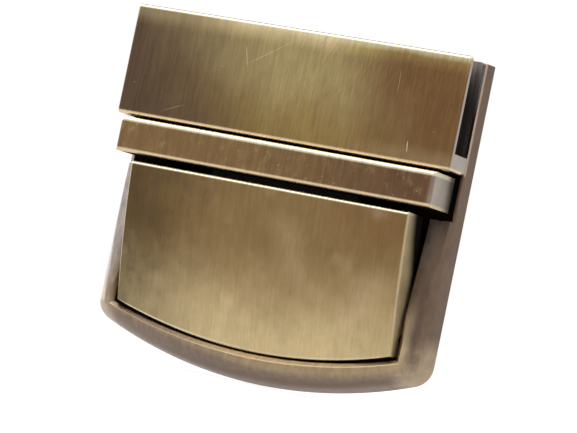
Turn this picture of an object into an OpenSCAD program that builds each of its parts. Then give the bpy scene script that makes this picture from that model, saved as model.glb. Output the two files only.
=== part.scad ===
// Briefcase clasp: a press-to-open lock for the flap of a briefcase.
// X is across the clasp, the front faces -Y and Z is up. The back of the base lies in the
// plane Y = 0, and the origin is the middle of the four fixing holes there.
// "Depth" is the distance in front of that plane.

/* [Base casting] */
// Width of the base
base_w = 50; // [48:0.5:56]
// Height of the base, down to the lowest point of its curved edge
base_h = 48.5; // [47:0.5:54]
// Radius of the curved bottom edge
bottom_r = 64; // [56:1:80]
// Radius of the two bottom corners
corner_r = 3.2; // [2.8:0.1:4]
// Depth of the outer wall, below the rounded outer edge
wall_d = 2; // [1.2:0.1:2.2]
// Draft of the outer wall: how far it leans in at that depth
wall_draft = 0.4; // [0:0.05:0.5]
// Width of the wall's draft and the rounded outer edge together
edge_w = 2.6; // [2:0.1:2.7]
// Fullness of the rounded outer edge: 0 is a flat bevel and 1 a full round
edge_full = 0.5; // [0:0.05:1]
// Depth of the rim at its foot
rim_low_d = 5.6; // [5.2:0.1:6]
// Depth of the rim at its upper end
rim_d = 3.1; // [3:0.1:3.5]
// Height above the bottom at which the rim has its full depth
rim_foot_h = 9.25; // [7:0.25:11]
// Width of the rim at each side of the press plate
rim_w = 3.8; // [3.4:0.1:4.2]
// Height of the rim below the press plate
rim_low_h = 4.35; // [4:0.05:5]
// Depth of the thin border round the upper tray
border_d = 2.4; // [2.3:0.1:3]
// Width of that border with the draft of the wall
border_w = 1; // [0.8:0.1:1.4]
// Thickness of the tray floor
floor_t = 1.7; // [1.5:0.1:1.8]
// Chamfer of the inner edge of the rim, at its foot
rim_chamfer = 0.6; // [0.3:0.05:0.9]
// Depth of the shelf at the foot of the cavity
shelf_d = 2.8; // [2.5:0.1:3]

/* [Fixing holes] */
// Distance between the fixing holes across the base
mount_x = 30; // [26:0.5:36]
// Distance of the fixing holes from the top and bottom of the base
mount_inset = 4.95; // [4.4:0.05:5.4]
// Radius of a tapped fixing hole
mount_r = 1.05; // [0.8:0.05:1.25]
// Depth of a fixing hole
mount_depth = 2.2; // [1.6:0.1:2.3]
// Wall round a fixing hole in the tray
mount_wall = 1.3; // [1:0.1:1.8]

/* [Bridge bar] */
// Distance of the bar's ends from the sides of the base
bar_inset = 1.65; // [1.4:0.05:2.4]
// Height of the bridge bar
bar_h = 4.8; // [4.2:0.1:5.2]
// Depth of the front of the bridge bar
bar_d = 10.2; // [9.4:0.1:11]
// Rounding of the bar's front edges
bar_edge = 0.5; // [0.2:0.1:0.8]
// Distance of the bar screws from the ends of the bar
bar_screw_inset = 5.35; // [3.5:0.05:8]
// Depth to which the bar screws reach
bar_screw_d = 6.2; // [5:0.1:7.5]

/* [Flap piece] */
// Distance of the flap piece's ends from the sides of the base
flap_inset = 0.3; // [0:0.05:1]
// Distance of the flap piece's top below the top of the base
flap_drop = 0.1; // [0:0.05:0.5]
// Height of the flap piece
flap_h = 15.4; // [14.5:0.1:17]
// Thickness of the front wall
flap_wall = 0.9; // [0.7:0.05:1.3]
// Width of the slot that takes the leather
slot_w = 4.3; // [4.2:0.1:5]
// Height of the block under the slot
block_h = 2.4; // [2.2:0.1:3]
// Thickness of the tongue plate
tongue_t = 0.9; // [0.7:0.05:1.1]
// Width of the tongue
tongue_w = 22; // [18:0.5:22.5]
// Length of the tongue below the flap piece
tongue_l = 15.1; // [14.8:0.1:16]
// Width of the window in the tongue
window_w = 12; // [9:0.5:13]
// Height of the window in the tongue
window_h = 3.7; // [3.5:0.1:4.2]
// Height of the bar below the window
window_rise = 2.7; // [2:0.1:3]
// Chamfer of the lower corners of the tongue
tongue_taper = 2; // [1:0.1:3]
// Rounding of the flap piece's front edges
flap_edge = 0.45; // [0.2:0.05:0.6]
// Rounding of the lower corners of the flap piece, in the front view
flap_corner_r = 0.5; // [0.3:0.05:1.2]
// Distance of the outer flap screws from the ends of the flap piece
flap_screw_inset = 6.7; // [4:0.1:10]
// Depth to which the flap screws reach
flap_screw_d = 7.2; // [6:0.1:7.6]
// Distance of the leather holes from the ends of the flap piece
leather_inset = 8.7; // [6:0.1:12]
// Radius of a leather hole
leather_r = 1.1; // [0.8:0.05:1.4]
// Height of the leather holes below the top of the flap piece
leather_drop = 6; // [4:0.1:8]

/* [Press plate] */
// Depth of the face at its top edge
press_d = 10; // [9.4:0.1:10.6]
// Depth of the face at the middle of its bottom edge
press_low_d = 4.6; // [4.4:0.1:5]
// Radius of the bulge of the face from top to bottom
face_r = 105; // [80:1:160]
// Radius of the curved bottom edge of the plate
press_r = 66; // [58:1:80]
// How much larger the radius of the opening's curved bottom is
open_flare = 5; // [1:0.5:8]
// Wall of the press plate
press_wall = 1.2; // [1:0.05:1.4]
// Depth of the lip along the top edge
lip_d = 2; // [1.4:0.1:2.4]
// Rounding of the side edges of the face
press_edge = 0.5; // [0.2:0.05:0.8]
// Chamfer of the top edge of the face
press_chamfer = 0.3; // [0.1:0.05:0.6]
// Thickness of a pusher
pusher_t = 1.6; // [1.2:0.1:2]
// Width of a pusher
pusher_w = 2.9; // [2:0.1:3.2]

/* [Hinge and springs] */
// Radius of the hinge pin
pin_r = 0.8; // [0.7:0.05:0.9]
// Chamfer of the ends of the pin
pin_chamfer = 0.2; // [0.1:0.05:0.3]
// Height of the hinge axis above the bottom corners of the press plate
pin_rise = 2.3; // [2.2:0.05:2.6]
// Depth of the hinge axis
pin_d = 3.1; // [3:0.05:3.3]
// Radius of the bosses round the pin
boss_r = 1.75; // [1.5:0.05:1.8]
// Width of a boss
boss_w = 1.75; // [1.4:0.05:2.2]
// Length of the pin in each side of the base
pin_hold = 1.2; // [0.8:0.1:1.6]
// Thickness of the wire of a return spring
wire_t = 0.4; // [0.3:0.05:0.45]
// Turns of a return spring
coil_turns = 5; // [3:1:5]
// Length of the legs of a return spring
leg_l = 6; // [4:0.1:7]
// Thickness of the catch leaf
leaf_t = 0.4; // [0.3:0.05:0.45]
// Width of the catch nose
nose_w = 10; // [7:0.5:10.5]
// Angle at which the catch leaf leans forward
leaf_lean = 20; // [17:0.5:22]
// Width of the foot of the catch leaf
leaf_foot_w = 16; // [14:0.5:20]
// Height of the wide band of the catch leaf
leaf_band_h = 2.6; // [2:0.1:3]
// Distance of the bend of the leaf below the tray floor
leaf_bend_drop = 0.8; // [0.5:0.05:1.2]
// Distance between the two leaf rivets
rivet_x = 10; // [8:0.5:12]
// Radius of the shank of a leaf rivet
rivet_r = 0.7; // [0.5:0.05:0.8]
// Radius of the heads of a leaf rivet
rivet_head_r = 1.25; // [1:0.05:1.4]
// Height of a head of a leaf rivet
rivet_head_h = 0.45; // [0.3:0.05:0.55]

/* [Rear cover] */
// Thickness of the rear cover
cover_t = 0.8; // [0.6:0.05:0.85]
// Overlap of the cover on the floor and on the shelf
cover_lap = 0.8; // [0.6:0.05:0.9]
// Border of the base outside the cover
cover_border = 0.8; // [0.6:0.05:1]
// Radius of the corners of the cover
cover_r = 1; // [0.5:0.1:1.5]
// Depth to which the cover screws reach
cover_screw_d = 2.5; // [2:0.1:2.6]
// Distance of the cover screws from the sides of the base
cover_screw_inset = 2.25; // [2:0.05:2.4]
// Distance of the upper cover screws below the top of the rim
cover_screw_drop = 2; // [1.5:0.1:3]
// Distance of the lower cover screws above the hinge axis
cover_screw_rise = 4; // [3:0.1:6]

/* [Screws] */
// Radius of the small screws of the cover and the flap piece
small_r = 0.7; // [0.5:0.05:0.75]
// Radius of their heads
small_head_r = 1.15; // [1:0.05:1.15]
// Height of their heads
small_head_h = 0.5; // [0.4:0.05:0.55]
// Radius of the bar screws
bar_screw_r = 1; // [0.8:0.05:1.2]
// Radius of their heads
bar_head_r = 1.6; // [1.3:0.05:1.7]
// Height of their heads
bar_head_h = 0.8; // [0.6:0.05:1]

/* [Fits] */
// Gap between the flap piece and the bar
bar_gap = 0.4; // [0.3:0.05:0.9]
// Gap between the bar and the press plate
press_gap = 1.05; // [1:0.05:1.4]
// Groove between the bar and the rim
groove = 1; // [0.8:0.05:1.4]
// Gap beside the press plate
side_gap = 0.55; // [0.4:0.05:0.7]
// Gap below the middle of the press plate
low_gap = 0.25; // [0.15:0.05:0.6]
// Gap between the flap piece and the border
slide_gap = 0.8; // [0.2:0.05:1]
// Gap round the tongue in the bar
tongue_gap = 0.5; // [0.3:0.05:0.7]
// Radial gap of the pin in the press plate
pin_gap = 0.04; // [0.02:0.01:0.08]
// Gap between fixed pieces
seat_gap = 0.03; // [0.02:0.01:0.05]
// Gap between the pushers and the catch leaf
pusher_gap = 0.25; // [0.15:0.05:0.35]
// Gap between the catch nose and the lower edge of the window
catch_gap = 0.3; // [0.2:0.05:0.5]
// Gap between the tongue and the outer fingers of the leaf
finger_gap = 0.9; // [0.6:0.05:1.2]
// Gap in front of the tongue in the bar
front_gap = 0.6; // [0.4:0.05:0.8]
// Gap between the foot of the press plate and the shelf that stops it
stop_gap = 0.1; // [0.05:0.01:0.2]
// Gap between the coils, the pin and the bosses
coil_gap = 0.3; // [0.2:0.05:0.35]
// Gap between neighbouring turns of a coil
turn_gap = 0.15; // [0.05:0.05:0.2]

/* [Hidden] */
$fn = 64;

// Heights, from the top of the base down
base_top = base_h / 2;
base_low = -base_h / 2;
flap_top = base_top - flap_drop;
flap_low = flap_top - flap_h;
bar_top = flap_low - bar_gap;
bar_low = bar_top - bar_h;
bar_mid = (bar_top + bar_low) / 2;
rim_z = bar_low - groove;
floor_z = bar_low - groove / 2;
press_top = bar_low - press_gap;
press_low = base_low + rim_low_h;
mount_z = base_top - mount_inset;

// Distance by which a cut runs past what it cuts
past = 1;

// Base outline: the bottom arc and the two corners that touch it and the sides
arc_z = base_low + bottom_r;
corner_x = base_w / 2 - corner_r;
corner_half = asin(corner_x / (bottom_r - corner_r));
corner_z = arc_z - (bottom_r - corner_r) * cos(corner_half);
edge_steps = 10;
open_w = base_w - 2 * rim_w;
open_low = press_low - low_gap;
open_r = press_r + open_flare;
press_w = open_w - 2 * side_gap;

// Hinge axis above the plate's bottom corners, and the shelf that clears the bosses
press_corner = press_low + press_r - sqrt(press_r * press_r - press_w * press_w / 4);
pin_z = press_corner + pin_rise;
shelf_z = pin_z - boss_r - side_gap;
rim_foot = base_low + rim_foot_h;
rim_slope = (rim_low_d - rim_d) / (rim_z - rim_foot);

// Rear cover and its screws
cover_w = base_w - 2 * cover_border;
cover_top = floor_z + cover_lap;
cover_low = shelf_z - cover_lap;
cover_screw_x = base_w / 2 - cover_screw_inset;
cover_screw_z = [rim_z - cover_screw_drop, pin_z + cover_screw_rise];

// Bar and its screws
bar_w = base_w - 2 * bar_inset;
bar_screw_x = bar_w / 2 - bar_screw_inset;
notch_w = tongue_w + 2 * tongue_gap;

// Flap piece: its depths, from the back
flap_w = base_w - 2 * flap_inset;
tongue_d = border_d + slide_gap;
slot_d = tongue_d + tongue_t;
flap_d = slot_d + slot_w + flap_wall;
tongue_low = flap_low - tongue_l;
window_low = tongue_low + window_rise;
notch_d = slot_d + front_gap;
flap_screw_z = flap_low + block_h / 2 + seat_gap;
flap_screw_places = [flap_screw_inset - flap_w / 2, 0, flap_w / 2 - flap_screw_inset];
leather_x = flap_w / 2 - leather_inset;
leather_z = flap_top - leather_drop;

// Catch leaf: it lies on the floor behind the bar and leans forward into the window
leaf_d = floor_t + leaf_t / 2 + seat_gap;
leaf_top = bar_top - tongue_gap;
leaf_bend = floor_z - leaf_bend_drop;
leaf_end = window_low + catch_gap;
leaf_end_d = leaf_d + (leaf_bend - leaf_end) * tan(leaf_lean);
leaf_split = leaf_bend - leaf_band_h;
finger_in = tongue_w / 2 + finger_gap;
finger_w = pusher_w + 2 * pusher_gap;
finger_out = finger_in + finger_w;
rivet_head_d = leaf_d + leaf_t / 2 + seat_gap;

// Press plate: the centre of its bulged face, in depth and height
face_up = [press_d, press_top];
face_down = [press_low_d, press_low];
face_mid = (face_up + face_down) / 2;
face_run = norm(face_up - face_down);
face_dir = (face_up - face_down) / face_run;
face_centre = face_mid - [face_dir[1], -face_dir[0]] * sqrt(face_r * face_r - face_run * face_run / 4);
skirt_d = slot_d + pusher_gap;
pusher_z = leaf_end + pusher_gap;
pusher_in = finger_in + pusher_gap;
pusher_d = leaf_end_d + leaf_t / 2 / cos(leaf_lean) - pusher_gap * tan(leaf_lean) + pusher_gap;

// Return springs
coil_r = pin_r + coil_gap + wire_t / 2;
coil_pitch = wire_t + turn_gap;
coil_x = press_w / 2 - boss_w - coil_gap - wire_t / 2;
coil_steps = 14;

// Colours
brushed = [0.62, 0.55, 0.38];
antique = [0.45, 0.36, 0.29];
steel = [0.62, 0.62, 0.62];
spring_steel = [0.42, 0.43, 0.46];

// Points of an arc in degrees
function arc(c, r, from, to, steps = 6) =
    [for (i = [0:steps]) c + r * [cos(from + (to - from) * i / steps), sin(from + (to - from) * i / steps)]];

// Depth of the face of the press plate at a height
function face_at(z, inset = 0) =
    face_centre[0] + sqrt(pow(face_r - inset, 2) - pow(z - face_centre[1], 2));

// Extrudes a front view, drawn in x and z, between two depths
module slab(d0, d1) {
    translate([0, -d0, 0]) rotate([90, 0, 0]) linear_extrude(d1 - d0) children();
}

// Extrudes a side view, drawn in depth and z, across the middle
module across(w) {
    translate([-w / 2, 0, 0]) rotate([90, 0, 90]) linear_extrude(w) mirror([1, 0]) children();
}

// A straight round bar that runs forward between two depths
module post(x, z, r, d0, d1) {
    translate([x, -d0, z]) rotate([90, 0, 0]) cylinder(r = r, h = d1 - d0);
}

// A rod along X on the hinge axis
module hinge_rod(r, x0, x1) {
    translate([x0, -pin_d, pin_z]) rotate([0, 90, 0]) cylinder(r = r, h = x1 - x0);
}

module box(x0, x1, d0, d1, z0, z1) {
    translate([x0, -d1, z0]) cube([x1 - x0, d1 - d0, z1 - z0]);
}

// A countersunk screw whose head is flush with the depth d0
module screw(x, z, r, head_r, head_h, d0, d1) {
    slot_t = head_r * 0.3;
    difference() {
        translate([x, -d0, z]) rotate([90, 0, 0]) {
            cylinder(r1 = head_r, r2 = r, h = head_h);
            cylinder(r = r, h = d1 - d0);
        }
        box(x - head_r, x + head_r, d0 - past, d0 + head_h / 2, z - slot_t / 2, z + slot_t / 2);
    }
}

// The hole for such a screw
module screw_hole(x, z, r, head_r, head_h, d0, d1) {
    translate([x, -d0, z]) rotate([90, 0, 0]) {
        cylinder(r1 = head_r + seat_gap, r2 = r + seat_gap, h = head_h);
        translate([0, 0, -past]) cylinder(r = head_r + seat_gap, h = past);
        cylinder(r = r + seat_gap, h = d1 - d0 + seat_gap);
    }
}

// Rounded outer edge of the base, a curve from the top of its wall to the top of the rim
function edge_points(r) =
    let (first = [r - wall_draft, wall_d], last = [r - edge_w, rim_low_d],
         pull = [first[0], last[1]] * edge_full + (first + last) / 2 * (1 - edge_full))
    [for (i = [0:edge_steps]) let (t = i / edge_steps)
        first * pow(1 - t, 2) + pull * 2 * t * (1 - t) + last * t * t];

// The solid base with its rounded edge all round the sides, the corners and the bottom
module base_blank() {
    right_edge = edge_points(base_w / 2);
    left_edge = [for (i = [edge_steps:-1:0]) [-right_edge[i][0], right_edge[i][1]]];
    translate([0, 0, corner_z]) linear_extrude(base_top - corner_z) mirror([0, 1])
        polygon(concat([[-base_w / 2, 0], [base_w / 2, 0]], right_edge, left_edge));
    translate([0, 0, arc_z]) rotate([90, 0, 0]) rotate([0, 0, 270 - corner_half])
        rotate_extrude(angle = 2 * corner_half) {
            inner_r = arc_z - corner_z - past;
            polygon(concat([[inner_r, 0], [bottom_r, 0]], edge_points(bottom_r), [[inner_r, rim_low_d]]));
        }
    for (side = [0, 1])
        mirror([side, 0, 0]) translate([corner_x, 0, corner_z]) rotate([90, 0, 0])
            rotate([0, 0, 270 + corner_half]) rotate_extrude(angle = 90 - corner_half)
                polygon(concat([[0, 0], [corner_r, 0]], edge_points(corner_r), [[0, rim_low_d]]));
}

// Side view of the base: the thin tray above, the rising rim below
module base_side() {
    foot_past = rim_foot - past / rim_slope;
    polygon([[0, foot_past - base_h], [rim_low_d + past, foot_past - base_h], [rim_low_d + past, foot_past],
             [rim_d, rim_z], [border_d, rim_z], [border_d, base_top + past], [0, base_top + past]]);
}

// Front view of the opening that the press plate fills
module press_opening(w, low, r, top) {
    intersection() {
        translate([-w / 2, low]) square([w, top - low]);
        translate([0, low + r]) circle(r = r, $fn = 180);
    }
}

// Cut for the chamfer of the opening: it runs out where the rim sinks below its depth
module rim_chamfers() {
    start_d = rim_low_d - rim_chamfer;
    rise = rim_chamfer + past;
    half = open_w / 2;
    intersection() {
        translate([0, 0, base_low]) linear_extrude(rim_z - base_low + past) mirror([0, 1])
            polygon([[-half, start_d], [half, start_d],
                     [half + rise, start_d + rise], [-half - rise, start_d + rise]]);
        translate([0, -start_d, open_low + open_r]) rotate([90, 0, 0])
            cylinder(r1 = open_r, r2 = open_r + rise, h = rise, $fn = 180);
    }
}

module base_frame() {
    tray_x = base_w / 2 - border_w;
    color(antique) difference() {
        union() {
            difference() {
                intersection() {
                    base_blank();
                    across(base_w + 2 * past) base_side();
                }
                box(-tray_x, tray_x, floor_t, border_d + past, rim_z, base_top - border_w);
            }
            for (side = [-1, 1])
                post(side * mount_x / 2, mount_z, mount_r + mount_wall, floor_t / 2, border_d);
        }
        // Cavity of the mechanism, open at the front and closed by the cover at the back
        box(-open_w / 2, open_w / 2, -past, rim_low_d + past, shelf_z, floor_z);
        slab(shelf_d, rim_low_d + past) press_opening(open_w, open_low, open_r, floor_z);
        slab(-past, cover_t) cover_outline(seat_gap);
        rim_chamfers();
        // Open seats for the ends of the hinge pin
        hinge_rod(pin_r + seat_gap, -open_w / 2 - pin_hold - seat_gap, open_w / 2 + pin_hold + seat_gap);
        box(-open_w / 2 - pin_hold - seat_gap, open_w / 2 + pin_hold + seat_gap, 0, pin_d,
            pin_z - pin_r - seat_gap, pin_z + pin_r + seat_gap);
        for (side = [-1, 1]) {
            for (end = [-1, 1]) post(side * mount_x / 2, end * mount_z, mount_r, -past, mount_depth);
            for (z = cover_screw_z) post(side * cover_screw_x, z, small_r + seat_gap, 0, cover_screw_d + seat_gap);
            screw_hole(side * bar_screw_x, bar_mid, bar_screw_r, bar_head_r, bar_head_h, 0, floor_t);
            post(side * rivet_x / 2, bar_mid, rivet_r + seat_gap, -past, floor_t + past);
            post(side * rivet_x / 2, bar_mid, rivet_head_r + seat_gap, -past, rivet_head_h + seat_gap);
        }
    }
}

// The bar that bridges the tongue, with rounded front edges and ends
module bridge_bar() {
    back = floor_t + seat_gap;
    half = bar_w / 2;
    color(antique) difference() {
        intersection() {
            across(bar_w + 2 * past) polygon(concat([[back, bar_top], [back, bar_low]],
                arc([bar_d - bar_edge, bar_low + bar_edge], bar_edge, -90, 0),
                arc([bar_d - bar_edge, bar_top - bar_edge], bar_edge, 0, 90)));
            translate([0, 0, bar_low - past]) linear_extrude(bar_h + 2 * past) mirror([0, 1])
                polygon(concat([[-half, 0], [half, 0]],
                    arc([half - bar_edge, bar_d - bar_edge], bar_edge, 0, 90),
                    arc([bar_edge - half, bar_d - bar_edge], bar_edge, 90, 180)));
        }
        box(-notch_w / 2, notch_w / 2, -past, notch_d, bar_low - past, bar_top + past);
        for (side = [-1, 1])
            post(side * bar_screw_x, bar_mid, bar_screw_r + seat_gap, 0, bar_screw_d + seat_gap);
    }
}

module bridge_screws() {
    color(steel) for (side = [-1, 1])
        screw(side * bar_screw_x, bar_mid, bar_screw_r, bar_head_r, bar_head_h, 0, bar_screw_d);
}

// Ring with the bulge of the face, turned about an axis across the clasp
module face_ring(w, r, edge) {
    depth = press_d + 4 * past;
    translate([0, -face_centre[0], face_centre[1]]) rotate([0, 90, 0])
        rotate_extrude($fn = 360)
            polygon(concat([[r - depth, w / 2], [r - depth, -w / 2]],
                arc([r - edge, -w / 2 + edge], edge, -90, 0),
                arc([r - edge, w / 2 - edge], edge, 0, 90)));
}

// Side view of the press plate behind its face: the skirts, the hinge and the foot that stops it
module press_side() {
    front = press_d + past;
    foot_z = shelf_z + side_gap;
    heel_d = pin_d - boss_r;
    polygon([[skirt_d, press_top + past], [heel_d, pin_z + boss_r], [heel_d, foot_z],
             [shelf_d + stop_gap, foot_z], [shelf_d + stop_gap, press_low - past],
             [front, press_low - past], [front, press_top + past]]);
}

module press_plate() {
    inner_w = press_w - 2 * press_wall;
    color(brushed) difference() {
        union() {
            difference() {
                intersection() {
                    face_ring(press_w, face_r, press_edge);
                    slab(0, press_d + past) press_opening(press_w + 2 * past, press_low, press_r, press_top);
                    across(press_w + 2 * past) press_side();
                }
                across(press_w + 2 * past) polygon([[press_d - press_chamfer, press_top + past / 2],
                    [press_d - press_chamfer, press_top], [press_d, press_top - press_chamfer],
                    [press_d + past, press_top - press_chamfer], [press_d + past, press_top + past / 2]]);
                intersection() {
                    face_ring(inner_w, face_r - press_wall, press_edge);
                    slab(-past, press_d + past)
                        press_opening(press_w, press_low + press_wall, press_r - press_wall, press_top - press_wall);
                }
                box(-inner_w / 2, inner_w / 2, -past, press_d - lip_d, press_top - 2 * press_wall, press_top + past);
            }
            for (side = [-1, 1]) {
                hinge_rod(boss_r, min(side * press_w / 2, side * (press_w / 2 - boss_w)),
                          max(side * press_w / 2, side * (press_w / 2 - boss_w)));
                intersection() {
                    face_ring(inner_w, face_r - press_wall / 2, press_edge);
                    box(min(side * pusher_in, side * (pusher_in + pusher_w)),
                        max(side * pusher_in, side * (pusher_in + pusher_w)),
                        pusher_d, press_d, pusher_z, pusher_z + pusher_t);
                }
            }
        }
        hinge_rod(pin_r + pin_gap, -press_w, press_w);
    }
}

module hinge_pin() {
    half = open_w / 2 + pin_hold;
    tip_r = pin_r - pin_chamfer;
    color(steel) translate([0, -pin_d, pin_z]) rotate([0, 90, 0]) rotate_extrude()
        polygon([[0, -half], [tip_r, -half], [pin_r, pin_chamfer - half],
                 [pin_r, half - pin_chamfer], [tip_r, half], [0, half]]);
}

// Path of a return spring: a leg up the cover, the coil round the pin, a leg up the plate
function coil_point(a, x) = [x, -(pin_d + coil_r * cos(a)), pin_z + coil_r * sin(a)];
back_leg_angle = 172;
front_leg_angle = -18;
coil_span = coil_turns * 360 + back_leg_angle - front_leg_angle - 360;
function spring_path() = let (
        rings = ceil(coil_span / 360 * coil_steps),
        coil = [for (i = [0:rings])
            coil_point(back_leg_angle - coil_span * i / rings, coil_pitch * coil_turns * (i / rings - 0.5))],
        first = coil[0],
        last = coil[rings])
    concat([first + leg_l * [0, sin(8), cos(8)]], coil, [last + leg_l * [0, -sin(18), cos(18)]]);

// Tube of round wire along a path that never runs along X
module wire(path, t, sides = 8) {
    count = len(path);
    function unit(v) = v / norm(v);
    function along(i) = unit(path[min(i + 1, count - 1)] - path[max(i - 1, 0)]);
    function e1(i) = unit([1, 0, 0] - along(i) * along(i)[0]);
    points = [for (i = [0:count - 1], k = [0:sides - 1])
        let (a = 360 * k / sides, u = e1(i), v = cross(along(i), u))
        path[i] + t / 2 * (u * cos(a) + v * sin(a))];
    walls = [for (i = [0:count - 2], k = [0:sides - 1]) let (n = (k + 1) % sides)
        [i * sides + k, i * sides + n, (i + 1) * sides + n, (i + 1) * sides + k]];
    start = [for (k = [sides - 1:-1:0]) k];
    finish = [for (k = [0:sides - 1]) (count - 1) * sides + k];
    polyhedron(points, concat([start], walls, [finish]));
}

module return_spring(side) {
    offset_x = coil_x - coil_pitch * coil_turns / 2;
    color(spring_steel) translate([side * offset_x, 0, 0]) mirror([side < 0 ? 1 : 0, 0, 0])
        wire(spring_path(), wire_t);
}

module return_spring_left() {
    return_spring(-1);
}

module return_spring_right() {
    return_spring(1);
}

// Front view of the leaf: the foot, the wide band and its three fingers
module leaf_front() {
    translate([-leaf_foot_w / 2, leaf_split]) square([leaf_foot_w, leaf_top - leaf_split]);
    translate([-finger_out, leaf_split]) square([2 * finger_out, leaf_bend - leaf_split]);
    translate([-nose_w / 2, leaf_end]) square([nose_w, leaf_split - leaf_end + leaf_t]);
    for (side = [-1, 1])
        translate([side > 0 ? finger_in : -finger_out, leaf_end])
            square([finger_w, leaf_split - leaf_end + leaf_t]);
}

// Side view of the leaf: flat behind the bar, then leaning forward
module leaf_side() {
    half = leaf_t / 2;
    slant = half / cos(leaf_lean);
    kink = half * tan(leaf_lean / 2);
    polygon([[leaf_d - half, leaf_top], [leaf_d - half, leaf_bend - kink], [leaf_end_d - slant, leaf_end],
             [leaf_end_d + slant, leaf_end], [leaf_d + half, leaf_bend + kink], [leaf_d + half, leaf_top]]);
}

module catch_spring() {
    color(spring_steel) difference() {
        intersection() {
            slab(0, bar_d) leaf_front();
            across(base_w) leaf_side();
        }
        for (side = [-1, 1]) post(side * rivet_x / 2, bar_mid, rivet_r + seat_gap, 0, bar_d);
    }
}

module catch_rivets() {
    color(steel) for (side = [-1, 1]) {
        post(side * rivet_x / 2, bar_mid, rivet_r, 0, rivet_head_d + rivet_head_h / 2);
        post(side * rivet_x / 2, bar_mid, rivet_head_r, 0, rivet_head_h);
        post(side * rivet_x / 2, bar_mid, rivet_head_r, rivet_head_d, rivet_head_d + rivet_head_h);
    }
}

// Front view of the cover, or with a gap of its recess
module cover_outline(gap) {
    x = cover_w / 2 - cover_r;
    r = cover_r + gap;
    polygon(concat(
        arc([x, cover_low + cover_r], r, -90, 0), arc([x, cover_top - cover_r], r, 0, 90),
        arc([-x, cover_top - cover_r], r, 90, 180), arc([-x, cover_low + cover_r], r, 180, 270)));
}

module rear_cover() {
    color(steel) difference() {
        slab(0, cover_t - seat_gap) cover_outline(0);
        for (side = [-1, 1], z = cover_screw_z)
            screw_hole(side * cover_screw_x, z, small_r, small_head_r, small_head_h, 0, cover_t);
    }
}

module cover_screws() {
    color(steel) for (side = [-1, 1], z = cover_screw_z)
        screw(side * cover_screw_x, z, small_r, small_head_r, small_head_h, 0, cover_screw_d);
}

// Front view of the flap piece, with rounded corners
module flap_outline(r_low, r_top) {
    half = flap_w / 2;
    polygon(concat(
        arc([half - r_low, flap_low + r_low], r_low, -90, 0),
        arc([half - r_top, flap_top - r_top], r_top, 0, 90),
        arc([r_top - half, flap_top - r_top], r_top, 90, 180),
        arc([r_low - half, flap_low + r_low], r_low, 180, 270)));
}

module flap_front() {
    back = slot_d + seat_gap;
    block_top = flap_low + block_h;
    half = flap_w / 2;
    color(brushed) difference() {
        intersection() {
            across(flap_w + 2 * past) polygon(concat(
                [[back, block_top], [back, flap_low]],
                arc([flap_d - flap_edge, flap_low + flap_edge], flap_edge, -90, 0),
                arc([flap_d - flap_edge, flap_top - flap_edge], flap_edge, 0, 90),
                [[flap_d - flap_wall, flap_top], [flap_d - flap_wall, block_top]]));
            slab(0, flap_d + past) flap_outline(flap_corner_r, flap_edge);
            translate([0, 0, flap_low - past]) linear_extrude(flap_h + 2 * past) mirror([0, 1])
                polygon(concat([[-half, 0], [half, 0]],
                    arc([half - flap_edge, flap_d - flap_edge], flap_edge, 0, 90),
                    arc([flap_edge - half, flap_d - flap_edge], flap_edge, 90, 180)));
        }
        for (x = flap_screw_places) post(x, flap_screw_z, small_r + seat_gap, 0, flap_screw_d + seat_gap);
    }
}

// The sheet behind the leather and the tongue that hangs from it
module tongue_plate() {
    color(antique) difference() {
        slab(tongue_d, slot_d) difference() {
            union() {
                flap_outline(flap_corner_r, flap_edge);
                polygon([[-tongue_w / 2, flap_low + past], [-tongue_w / 2, tongue_low + tongue_taper],
                         [tongue_taper - tongue_w / 2, tongue_low], [tongue_w / 2 - tongue_taper, tongue_low],
                         [tongue_w / 2, tongue_low + tongue_taper], [tongue_w / 2, flap_low + past]]);
            }
            translate([-window_w / 2, window_low]) square([window_w, window_h]);
        }
        for (x = flap_screw_places)
            screw_hole(x, flap_screw_z, small_r, small_head_r, small_head_h, tongue_d, slot_d);
        for (side = [-1, 1])
            post(side * leather_x, leather_z, leather_r, 0, flap_d - flap_wall);
    }
}

module flap_screws() {
    color(steel) for (x = flap_screw_places)
        screw(x, flap_screw_z, small_r, small_head_r, small_head_h, tongue_d, flap_screw_d);
}

base_frame();
bridge_bar();
bridge_screws();
press_plate();
hinge_pin();
return_spring_left();
return_spring_right();
catch_spring();
catch_rivets();
rear_cover();
cover_screws();
flap_front();
tongue_plate();
flap_screws();
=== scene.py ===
"""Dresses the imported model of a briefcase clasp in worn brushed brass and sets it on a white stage."""

import math

import bpy
from bpy.props import FloatProperty, FloatVectorProperty, IntProperty, PointerProperty
from mathutils import Matrix, Vector


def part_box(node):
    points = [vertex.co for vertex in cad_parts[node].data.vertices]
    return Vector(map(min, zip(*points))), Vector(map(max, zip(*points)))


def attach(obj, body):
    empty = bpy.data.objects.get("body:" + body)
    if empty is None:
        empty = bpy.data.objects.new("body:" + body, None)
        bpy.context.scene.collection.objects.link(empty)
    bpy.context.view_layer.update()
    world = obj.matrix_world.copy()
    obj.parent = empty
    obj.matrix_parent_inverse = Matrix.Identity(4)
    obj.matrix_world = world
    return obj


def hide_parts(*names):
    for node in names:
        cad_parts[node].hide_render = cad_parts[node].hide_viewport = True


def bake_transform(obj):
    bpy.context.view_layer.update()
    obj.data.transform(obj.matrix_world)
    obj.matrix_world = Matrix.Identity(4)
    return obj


bl_info = {
    "name": "Briefcase Clasp",
    "version": (1, 0, 0),
    "blender": (4, 5, 0),
    "location": "3D View > Sidebar > Clasp",
    "description": "Builds the visible pieces of a briefcase clasp round its CAD frame",
    "category": "Object",
}

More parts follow.
